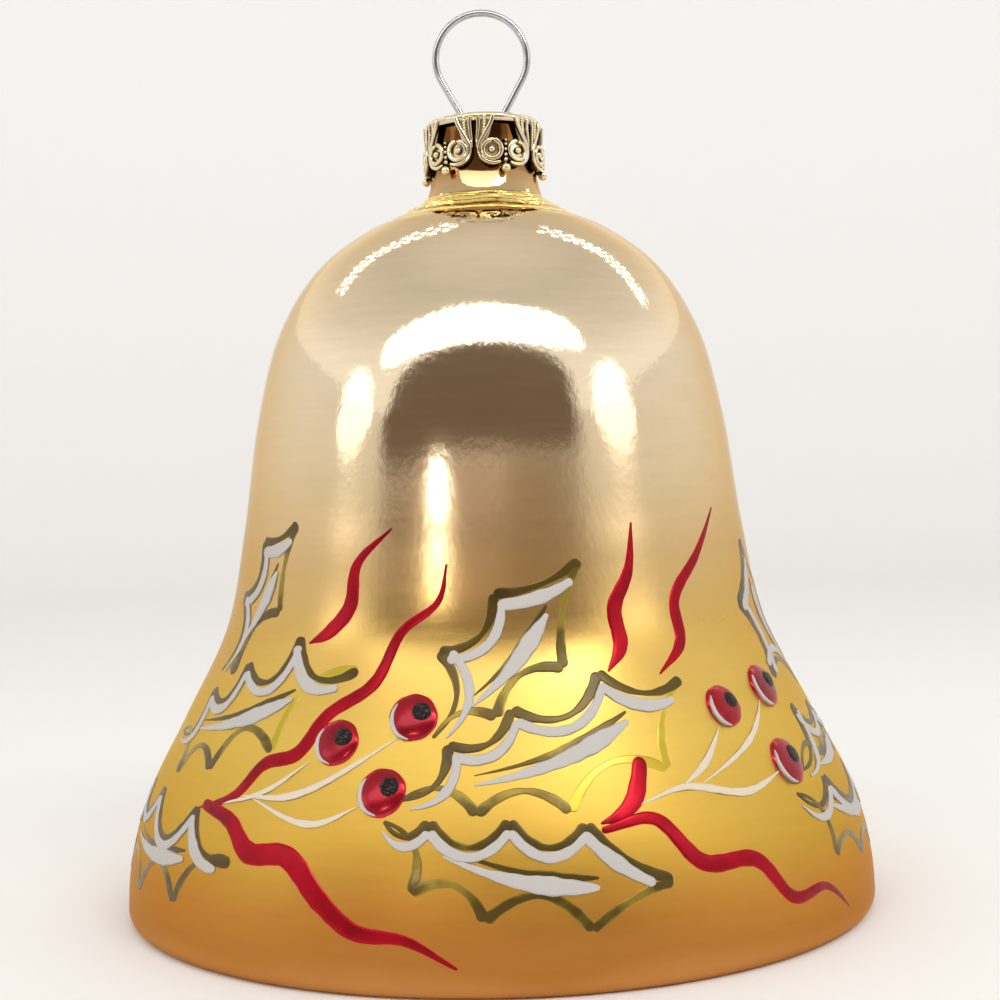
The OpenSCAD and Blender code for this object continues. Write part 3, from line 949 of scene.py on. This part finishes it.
@dataclass
class HollyPainting:
    """The hand-painted spray of holly: leaves, berries, stems and red ribbons."""

    surface: Turned
    leaves: tuple[Leaf, ...] = (
        Leaf((-10, 19), (17, 32.5), ((-10, 25.5), (0, 30)), ((0, 20.5), (12, 24)), 0.24, 0.08),
        Leaf((-14, 14.5), (34, 22.5), ((-7.5, 18.5), (2.5, 21), (18, 23.5)),
             ((-3, 13.5), (10, 13.5), (26, 16)), 0.24, 0.16, yellow_arcs=2),
        Leaf((-16, 13), (23, 8), ((-9.5, 13), (1.5, 13), (12, 12.5)),
             ((-11.5, 8), (-2, 6), (11.5, 5)), 0.28, 0.06, 0.7, 1.3),
        Leaf((-66, 23), (-45.5, 36), ((-66, 29.5), (-58, 34.5)), ((-59, 23), (-48, 28.5))),
        Leaf((-73, 17.5), (-25, 24), ((-64.5, 21.5), (-54, 24), (-40, 26.5)),
             ((-64, 14.5), (-52.5, 15.5), (-38.5, 17.5)), 0.36, 0.26, 0.8, yellow_arcs=1),
        Leaf((-82, 9.5), (-40, 9), ((-77, 13), (-66, 13), (-51, 12.5)),
             ((-78, 5), (-65.5, 4.5), (-52, 5)), 0.36, 0.2, 0.7),
        Leaf((78, 20), (70, 33.5), ((62, 21.5), (60, 28)), ((84, 23), (82, 29))),
        Leaf((55, 14), (84, 17), ((63, 19), (75, 18.5)), ((66, 14.5), (77, 14))),
        Leaf((50, 12.5), (86, 9), ((61, 13), (78, 13)), ((56, 7), (67, 6), (78, 5.5))),
    )
    ribbons: tuple[Ribbon, ...] = (
        Ribbon(1.4, ((-20.5, 35.5), (-28, 32.5), (-29, 29), (-33, 27), (-37.5, 26))),
        Ribbon(1.3, ((-9, 32.5), (-10.5, 29.5), (-17.5, 27), (-21.5, 23), (-29, 20.5),
                     (-33, 17.5), (-39, 16.5), (-43, 14), (-51, 12.5))),
        Ribbon(1.8, ((-5.5, 2.5), (-12, 4.5), (-19, 5), (-24, 7), (-30, 10), (-37, 10),
                     (-42, 12), (-50, 13)), 0.5),
        Ribbon(1.4, ((29.5, 35.5), (27.5, 31.5), (23.5, 28.5), (23.5, 25.5), (20, 23.5))),
        Ribbon(1.2, ((55.5, 36.5), (46.5, 32.5), (38, 29), (37, 25.5), (30, 23))),
        Ribbon(1.5, ((14, 12.5), (17, 13), (19.5, 14), (21, 15.5), (22, 17)), 0.8),
        Ribbon(1.35, ((57.5, 2.5), (51, 5), (43, 5), (37, 8.5), (28, 9), (22, 12.5),
                      (14, 12)), 0.4),
    )
    stems: tuple[Ribbon, ...] = (
        Ribbon(0.5, ((-46.5, 13), (-37, 14.5), (-30, 17))),
        Ribbon(0.7, ((-41.5, 14), (-31, 14.5), (-15.5, 19))),
        Ribbon(0.6, ((-39.5, 14), (-27, 12.5), (-20, 14))),
        Ribbon(0.7, ((19.5, 13.5), (28, 14.5), (39, 13.5), (48.5, 14.5))),
        Ribbon(0.7, ((27.5, 14.5), (33, 16), (38.5, 18.5))),
        Ribbon(0.6, ((31, 14.5), (45.5, 17.5), (52, 20))),
    )
    berries: tuple[Berry, ...] = (
        Berry(-26, 18.5, 1.95), Berry(-13.5, 20.5, 2.0), Berry(-17, 15, 2.0),
        Berry(41.5, 20, 1.9), Berry(55.5, 21, 2.0), Berry(51.5, 15, 2.1),
    )
    vein_width: float = 1.5

    def build(self) -> None:
        """Paints every layer, from the thinnest film up to the snow."""
        layers = {paint: [] for paint in Paint}
        for leaf in self.leaves:
            radius = float(self.surface.radius((leaf.base[1] + leaf.apex[1]) / 2))
            dye = [(points, 0.0) for points in leaf.outline(leaf.upper, radius)]
            pale = [(points, 0.5) for points in leaf.outline(leaf.lower, radius)]
            split = len(pale) - leaf.yellow_arcs
            layers[Paint.HOLLY] += dye + pale[:split] + [
                (leaf.vein(radius, leaf.vein_drop - 0.7, 0.8), 0.2)]
            layers[Paint.YELLOW] += pale[split:]
            white = [*leaf.snow(radius), leaf.vein(radius, leaf.vein_drop, self.vein_width)]
            layers[Paint.SNOW] += [(points, 0.0) for points in white]
        layers[Paint.RED] = [(ribbon.points(), 0.0) for ribbon in self.ribbons]
        layers[Paint.STEM] = [(stem.points(), 0.0) for stem in self.stems]
        for paint, strokes in layers.items():
            finish, base, rise, wobble, pooling = paint.value
            layer = Relief(self.surface, base, rise, wobble, pooling)
            for points, thinness in strokes:
                layer.stroke(points, thinness=thinness)
            layer.shell.build(f"paint_{paint.name.lower()}", finish, "bell")
        self._paint_berries()

    def _paint_berries(self) -> None:
        """Red drops, each with a glitter dot up to the right and snow down its left."""
        drops = Relief(self.surface, 0.03, 0.42, 0.03)
        dots = Relief(self.surface, 0.36, 0.2, 0.06)
        snow = Relief(self.surface, 0.16, 0.26, 0.08)
        for berry in self.berries:
            around = float(self.surface.radius(berry.z))

            def beside(share: float, angle: float) -> Spot:
                """A spot at a share of the berry's radius and an angle from its right."""
                turn = math.radians(angle)
                reach = share * berry.radius
                return (berry.azimuth + math.degrees(reach * math.cos(turn) / around),
                        berry.z + reach * math.sin(turn))

            drops.dome(berry.azimuth, berry.z, berry.radius)
            dots.dome(*beside(0.38, 25), 0.4 * berry.radius)
            snow.stroke([(*beside(0.84, angle), width) for angle, width in
                         ((145, 0.12), (175, 0.35), (205, 0.4), (235, 0.3), (265, 0.12))])
        drops.shell.build("paint_berries", BERRY, "bell")
        dots.shell.build("glitter_dots", BLACK, "bell")
        snow.shell.build("berry_crescents", SNOW, "bell")


# ---- crown cap


@dataclass
class CrownCap:
    """The stamped brass cap: a flat top and six units of two scrolled arms. Millimetres."""

    radius: float = 5.55
    sheet: float = 0.3
    top: float = 73.85
    units: int = 6
    first_unit: float = 21.5
    hole_x: float = 1.45
    hole_radius: float = 0.58
    eye: tuple[float, float] = (1.3, -3.6)

    def build(self) -> None:
        """Makes the top plate and the scrolled skirt."""
        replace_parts(self._plate(), "crown_cap")
        self._skirt().shell.build("cap_scrollwork", BRASS, "cap")

    def _plate(self) -> bpy.types.Object:
        """Round top with a rolled edge, a stamped bead line and two wire holes."""
        r, top = self.radius, self.top
        edge = arc_points((r - 0.4, top - 0.4), 0.4, 90, 0, 9)
        bead = [(x, top + 0.07 * math.sin((x - 3.6) / 0.9 * math.pi) ** 2)
                for x in np.linspace(4.5, 3.6, 9)]
        outline = np.vstack([[(0.01, top - self.sheet), (r - self.sheet, top - self.sheet),
                              (r - self.sheet, top - 0.85), (r, top - 0.85)],
                             edge[::-1], bead, [(0.01, top + 0.02)]])
        shell = turned_shell(outline, 144, 0.12)
        plate = shell.build("cap_top_plate", BRASS, "cap")
        drills = Shell()
        for side in (-1, 1):
            rod = np.column_stack([np.full(2, side * self.hole_x), np.zeros(2),
                                   [top - 2, top + 2]])
            drills.add_loops(tube_loops(rod, self.hole_radius, 40))
        tool = make_object("drills", drills.vectors(), drills.faces, BRASS.material())
        # the holes' walls keep their hard edges
        tool.data.shade_flat()
        cut = plate.modifiers.new("holes", "BOOLEAN")
        cut.object, cut.operation, cut.solver = tool, "DIFFERENCE", "EXACT"
        graph = bpy.context.evaluated_depsgraph_get()
        drilled = bpy.data.meshes.new_from_object(plate.evaluated_get(graph))
        plate.modifiers.clear()
        plate.data = drilled
        bpy.data.objects.remove(tool)
        return plate

    def _on_skirt(self, unit: float, x: float, y: float) -> Spot:
        """Turns a place on a unit's flat drawing into azimuth and height."""
        return unit + math.degrees(x / self.radius), self.top + y

    def _skirt(self) -> Relief:
        """Arms, rope work, spirals, beads and balls of all the units."""
        inner = self.radius - self.sheet
        skirt = Relief(Turned(np.array([(inner, 0.0), (inner, self.top + 5)])), 0, 0.3,
                       root=-0.02)
        for index in range(self.units):
            unit = self.first_unit + index * 360 / self.units
            for side in (-1, 1):
                self._arm(skirt, unit, side)
            for y, size in ((-2.7, 0.16), (-3.1, 0.18), (-3.55, 0.2), (-4.05, 0.22),
                            (-4.5, 0.24)):
                skirt.dome(*self._on_skirt(unit, 0, y), size, 0.5, 0.1)
            azimuth, z = self._on_skirt(unit, 0, -5.3)
            middle = skirt.surface.place(math.radians(azimuth), z, 0.42)
            add_ball(skirt.shell, middle, 0.44, rings=16)
        return skirt

    def _arm(self, skirt: Relief, unit: float, side: int) -> None:
        """One arm, from the edge of the top down into its scroll.

        Args:
            skirt: the relief that it is laid on.
            unit: azimuth of its unit's middle in degrees.
            side: -1 for the left arm of the unit and 1 for the right one.
        """
        def path(points: Sequence[StrokePoint]) -> list[StrokePoint]:
            """Lays flat-drawing points on this side of the unit."""
            return [(*self._on_skirt(unit, side * x, y), w) for x, y, w in points]

        ex, ey = self.eye
        skirt.stroke(path([(1.85, -0.35, 1.7), (1.9, -1.2, 1.4), (2.0, -2.0, 1.1),
                           (2.2, -2.8, 0.85), (2.35, -3.5, 0.5)]), 0.12, 0.12)
        skirt.stroke(path([(1.1, -0.4, 0.4), (1.3, -1.0, 0.42), (1.62, -1.65, 0.42),
                           (2.0, -2.3, 0.42), (2.36, -3.0, 0.42), (2.45, -3.75, 0.44),
                           (2.2, -4.4, 0.42), (1.6, -4.8, 0.4), (0.95, -4.85, 0.36),
                           (0.42, -4.7, 0.26)]), 0.32, 0.2)
        skirt.stroke(path([(2.55, -0.45, 0.34), (2.5, -1.2, 0.36), (2.58, -2.1, 0.32),
                           (2.66, -2.8, 0.24), (2.68, -3.4, 0.12)]), 0.26, 0.2)
        # flat backing of the scroll, its rolled ring and the bead in its eye
        eye = self._on_skirt(unit, side * ex, ey)
        skirt.dome(*eye, 1.15, 0.1, 0.14)
        turn = np.linspace(100, 452, 26)
        shrink = np.linspace(0.92, 0.78, 26)
        spiral = [(ex + k * math.cos(math.radians(t)), ey + k * math.sin(math.radians(t)),
                   0.46 - 0.003 * i) for i, (t, k) in enumerate(zip(turn, shrink))]
        skirt.stroke(path(spiral), 0.4, 0.2, pitch=0.1)
        skirt.dome(*eye, 0.36, 0.46, 0.2)
        # rope work down the middle of the arm
        for share in np.linspace(0, 1, 11):
            x, y = 1.92 + 0.36 * share ** 2, -0.55 - 2.5 * share
            skirt.dome(*self._on_skirt(unit, side * x, y), 0.2 - 0.05 * share, 0.24, 0.2)


# ---- hanger


@dataclass
class Hanger:
    """The spring-wire hanger: a pear-shaped loop and two legs in the neck. Millimetres."""

    wire: float = 0.68
    loop_radius: float = 4.4
    lean: float = 29.0
    hole_x: float = 1.45
    hole_z: float = 73.7
    bend: float = 1.1
    spread: float = 24.0
    leg_x: float = 3.55
    leg_bottom: float = 61.85

    def path(self) -> np.ndarray:
        """Middle of the wire, from the right leg's foot over the loop to the left leg's."""
        lean, spread = math.radians(self.lean), math.radians(self.spread)
        loop_z = self.hole_z + (self.loop_radius - self.hole_x * math.cos(lean)) / math.sin(lean)
        half = self.bend * math.tan((lean + spread) / 2)
        into = np.array([self.hole_x, self.hole_z]) + half * np.array(
            [math.sin(lean), math.cos(lean)])
        pinch = into + self.bend * np.array([math.cos(lean), -math.sin(lean)])
        fall = (self.leg_x - self.hole_x) / math.tan(spread)
        heel_z = self.hole_z - fall - self.bend * math.tan(spread / 2)
        foot = np.array([[self.leg_x, self.leg_bottom + self.wire / 2], [self.leg_x, heel_z]])
        heel = arc_points((self.leg_x - self.bend, heel_z), self.bend, 0, self.spread, 8)
        kink = arc_points(pinch, self.bend, 180 + self.spread, 180 - self.lean, 12)
        loop = arc_points((0, loop_z), self.loop_radius, -self.lean, 90, 60)
        right = np.vstack([foot[:1], heel, kink, loop])
        whole = np.vstack([right, (right * [-1, 1])[-2::-1]])
        return np.column_stack([whole[:, 0], np.zeros(len(whole)), whole[:, 1]])

    def build(self) -> None:
        """Makes the wire in one piece, with steps short enough for its long straights."""
        path = self.path()
        gone = distances(path)
        at = np.linspace(0, gone[-1], 420)
        even = np.column_stack([np.interp(at, gone, path[:, i]) for i in range(3)])
        shell = Shell()
        shell.add_loops(wire_loops(even, self.wire / 2, 24))
        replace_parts(shell.build("hanger_loop_wire", STEEL, "hanger"), "hanger_wire")


# ---- clapper


@dataclass
class Clapper:
    """The fused eye, the link, the twisted wire and the bead. Millimetres."""

    ceiling: float = 33.0
    eye_radius: float = 1.5
    eye_rod: float = 0.8
    wire: float = 0.6
    link_radius: float = 1.8
    hook_radius: float = 1.3
    gap: float = 0.02
    bead_radius: float = 4.5
    bead_z: float = 9.4
    foot_loop: float = 0.75

    def __post_init__(self) -> None:
        """Hangs each loop from the one above it."""
        self.eye_z = self.ceiling - self.eye_radius - self.eye_rod / 2 - 0.6
        pivot = self.eye_z - self.eye_radius
        self.link_z = pivot + (self.eye_rod + self.wire) / 2 + self.gap - self.link_radius
        self.hook_z = (self.link_z - self.link_radius + self.wire + self.gap
                       - self.hook_radius)
        self.foot_z = (self.bead_z - self.bead_radius - self.gap - self.wire / 2
                       - self.foot_loop)

    def build(self) -> None:
        """Makes the four pieces."""
        eye = Shell()
        add_ring(eye, self.eye_z, self.eye_radius, self.eye_rod / 2, 28)
        share = np.linspace(0, 1, 12)
        drop = np.column_stack([0.42 + 1.1 * share ** 3, self.ceiling - 1.25 + 1.15 * share])
        eye.add_loops(lathe(drop, 40))
        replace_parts(eye.build("clapper_glass_eye", SILVER, "bell"), "clapper_eye")

        link = Shell()
        add_ring(link, self.link_z, self.link_radius, self.wire / 2, 24, 90)
        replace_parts(link.build("clapper_link_ring", BRASS_WIRE, "link"), "clapper_link")
        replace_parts(self._wire().build("clapper_twisted_wire", BRASS_WIRE, "clapper"),
                    "clapper_wire")
        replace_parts(self._bead().build("clapper_glass_bead", BEAD, "clapper"), "clapper_bead")

    def _wire(self) -> Shell:
        """Hook loop, stem with the loop's tail wound on it, and the loop under the bead."""
        shell = Shell()
        r = self.wire / 2
        add_ring(shell, self.hook_z, self.hook_radius, r, 24)
        top = self.hook_z - self.hook_radius
        bottom = self.foot_z + self.foot_loop
        stem = np.column_stack([np.zeros(40), np.zeros(40), np.linspace(top, bottom, 40)])
        shell.add_loops(tube_loops(stem, r, 24))
        add_ring(shell, self.foot_z, self.foot_loop, r, 24)
        turn = np.linspace(0, 2 * math.pi * 3.5, 120)
        coil = np.column_stack([1.9 * r * np.cos(turn), 1.9 * r * np.sin(turn),
                                top - 0.25 - turn / (2 * math.pi) * 0.95 * self.wire])
        shell.add_loops(wire_loops(coil, 0.9 * r, 16))
        return shell

    def _bead(self) -> Shell:
        """Drilled bead, a little flattened at its two holes."""
        bore = self.wire / 2 + 0.03
        turn = np.linspace(5, 175, 60)
        r = self.bead_radius
        skin = np.column_stack([r * np.sin(np.radians(turn)),
                                self.bead_z + r * np.cos(np.radians(turn))])
        hole = np.array([(bore, self.bead_z - 0.99 * r), (bore, self.bead_z + 0.99 * r)])
        return turned_shell(np.vstack([skin, hole]), 96)


# ---- studio


@dataclass(frozen=True)
class Lamp:
    """An upright oval soft box that faces the bell: middle, size, radiance and turn."""

    name: str
    middle: tuple[float, float, float]
    size: tuple[float, float]
    radiance: float
    turn: float = 0.0


@dataclass(frozen=True)
class Card:
    """A dim oblong, fading at its edges, that the mirror reflects: middle, half size, tone."""

    name: str
    middle: tuple[float, float, float]
    half: tuple[float, float]
    tone: str


@dataclass
class Studio:
    """Camera, soft lights, pale sweep and the dim things that the mirror reflects. Metres."""

    eye: tuple[float, float, float] = (0.00072, -0.1568, 0.0374)
    lens: float = 58.64
    lean: float = 1.45
    look_up: float = 0.09
    lamps: tuple[Lamp, ...] = (
        Lamp("soft_box", (-0.04, -0.27, 0.33), (0.78, 0.19), 2.0),
        Lamp("key_box", (0.19, -0.26, 0.335), (0.22, 0.12), 6.5),
        Lamp("right_box", (0.50, -0.26, 0.25), (0.24, 0.15), 1.1, 45),
        Lamp("left_box", (-0.68, -0.26, 0.30), (0.28, 0.18), 1.1, -45),
        Lamp("small_lamp", (-0.102, -0.235, 0.094), (0.042, 0.020), 12.0),
    )
    room_tones: tuple[tuple[float, str], ...] = (
        (0.0, "E8E8E8"), (0.42, "E4E3E1"), (0.60, "CCC8C2"), (0.85, "BAB6B0"), (1.0, "C6C2BC"))
    room_strength: float = 1.4
    cards: tuple[Card, ...] = (
        Card("dim_wall", (-0.045, -0.255, 0.167), (0.30, 0.060), "77685A"),
        Card("dim_table", (-0.045, -0.250, 0.045), (0.30, 0.069), "CAB4A6"),
        Card("dim_camera", (0.13, -0.245, 0.045), (0.13, 0.070), "A6927E"),
    )
    diode_pitch: float = 0.032
    diode_radius: float = 0.0066
    diode_rows: tuple[float, ...] = (0.205, 0.235, 0.265)
    diode_bars: tuple[tuple[float, float], ...] = ((-0.50, -0.08), (0.12, 0.62))
    diode_height: float = 0.5
    diode_strength: float = 14.0
    card_core: float = 0.65

    def build(self) -> None:
        """Sets up the whole studio."""
        scene = bpy.context.scene
        scene.view_settings.view_transform = "Standard"
        data = bpy.data.cameras.new("camera")
        data.lens, data.sensor_width = self.lens, 36
        data.clip_start, data.clip_end = 0.005, 20
        camera = bpy.data.objects.new("camera", data)
        camera.location = self.eye
        camera.rotation_euler = (math.radians(90 + self.look_up), math.radians(self.lean), 0)
        scene.collection.objects.link(camera)
        scene.camera = camera
        self._room()
        self._sweep()
        for lamp in self.lamps:
            self._light(lamp)
        for card in self.cards:
            self._dim(card)
        self._diodes()

    def _room(self) -> None:
        """Pale walls under a dimmer ceiling."""
        world = bpy.data.worlds.new("room")
        world.use_nodes = True
        looks = Looks(world.node_tree)
        looks.tree.nodes.clear()
        way = add_node(looks.tree, "ShaderNodeTexCoord").outputs["Generated"]
        up = add_node(looks.tree, "ShaderNodeSeparateXYZ", inputs={"Vector": way}).outputs["Z"]
        air = add_node(looks.tree, "ShaderNodeBackground", inputs={
            "Color": looks.ramp(up, self.room_tones), "Strength": self.room_strength})
        add_node(looks.tree, "ShaderNodeOutputWorld",
                 inputs={"Surface": air.outputs["Background"]})
        bpy.context.scene.world = world

    def _sweep(self) -> None:
        """Pale floor that curves up into a wall all round, far from the bell."""
        flat, bend, high = 620.0, 300.0, 110.0
        outline = np.vstack([np.column_stack([np.linspace(0.5, flat, 12), np.zeros(12)]),
                             arc_points((flat, bend), bend, -90, 0, 20)[1:],
                             [(flat + bend, bend + high)]])
        shell = Shell()
        shell.add_loops(lathe(outline, 96), capped=False)
        make_object("sweep", np.array(shell.points) * MM, shell.faces,
                             PAPER.material())

    def _light(self, lamp: Lamp) -> None:
        """Hangs a soft box upright."""
        data = bpy.data.lights.new(lamp.name, "AREA")
        data.shape, (data.size, data.size_y) = "ELLIPSE", lamp.size
        # an oval face of this radiance sends out this many watts
        data.energy = math.pi ** 2 / 4 * lamp.size[0] * lamp.size[1] * lamp.radiance
        piece = bpy.data.objects.new(lamp.name, data)
        piece.location = lamp.middle
        piece.rotation_euler = (math.radians(90), 0, math.radians(lamp.turn))
        bpy.context.scene.collection.objects.link(piece)

    def _glow(self, name: str, tone: str, strength: float,
              core: Optional[float] = None) -> bpy.types.Material:
        """Light-giving surface, which may fade out from a core to the edge of a card.

        Args:
            name: the material's name.
            tone: its hex colour.
            strength: its radiance.
            core: share of a card with rounded corners that does not fade.

        Returns:
            The material.
        """
        paint = bpy.data.materials.new(name)
        paint.use_nodes = True
        looks = Looks(paint.node_tree)
        looks.tree.nodes.clear()
        glow = add_node(looks.tree, "ShaderNodeEmission",
                        inputs={"Color": linear(tone), "Strength": strength}).outputs[0]
        if core:
            space = looks.space()
            square = add_node(looks.tree, "ShaderNodeVectorMath", {"operation": "MULTIPLY"},
                              {0: space, 1: space})
            reach = add_node(looks.tree, "ShaderNodeVectorMath", {"operation": "LENGTH"},
                             {0: square.outputs["Vector"]})
            fade = add_node(looks.tree, "ShaderNodeMapRange", inputs={
                "Value": reach.outputs["Value"], "From Min": 1.0, "From Max": core})
            clear = add_node(looks.tree, "ShaderNodeBsdfTransparent")
            glow = add_node(looks.tree, "ShaderNodeMixShader", inputs={
                0: fade.outputs[0], 1: clear.outputs[0], 2: glow}).outputs[0]
        add_node(looks.tree, "ShaderNodeOutputMaterial", inputs={"Surface": glow})
        return paint

    def _reflected(self, piece: bpy.types.Object) -> None:
        """Lets a piece of the stage be seen in the mirror only."""
        piece.visible_camera = piece.visible_diffuse = piece.visible_shadow = False

    def _dim(self, card: Card) -> None:
        """Stands a card in front of the mirror."""
        points = ((-1, 0, -1), (1, 0, -1), (1, 0, 1), (-1, 0, 1))
        piece = make_object(card.name, points, [range(4)],
                            self._glow(card.name, card.tone, 1.0, self.card_core))
        piece.location = card.middle
        piece.scale = (card.half[0], 1, card.half[1])
        self._reflected(piece)

    def _diodes(self) -> None:
        """Two bars, each with staggered rows of diodes, behind and above the bell."""
        angle = full_turn(12)
        disc = np.column_stack([np.cos(angle), np.sin(angle), 0 * angle]) * self.diode_radius
        points, faces = [], []
        for x in np.concatenate([np.arange(*bar, self.diode_pitch) for bar in self.diode_bars]):
            for row, y in enumerate(self.diode_rows):
                faces.append(range(len(points), len(points) + len(disc)))
                points += list(disc + [x + row % 2 * self.diode_pitch / 2, y,
                                       self.diode_height])
        self._reflected(make_object("diodes", points, faces,
                                    self._glow("diodes", "FFFFFF", self.diode_strength)))


def main() -> None:
    """Builds every sub-assembly, then the studio."""
    logging.basicConfig(level=logging.INFO, format="%(name)s %(message)s")
    glass = BellGlass()
    glass.build()
    HollyPainting(glass.surface()).build()
    CrownCap().build()
    Hanger().build()
    Clapper().build()
    Studio().build()


if __name__ == "__main__":
    main()
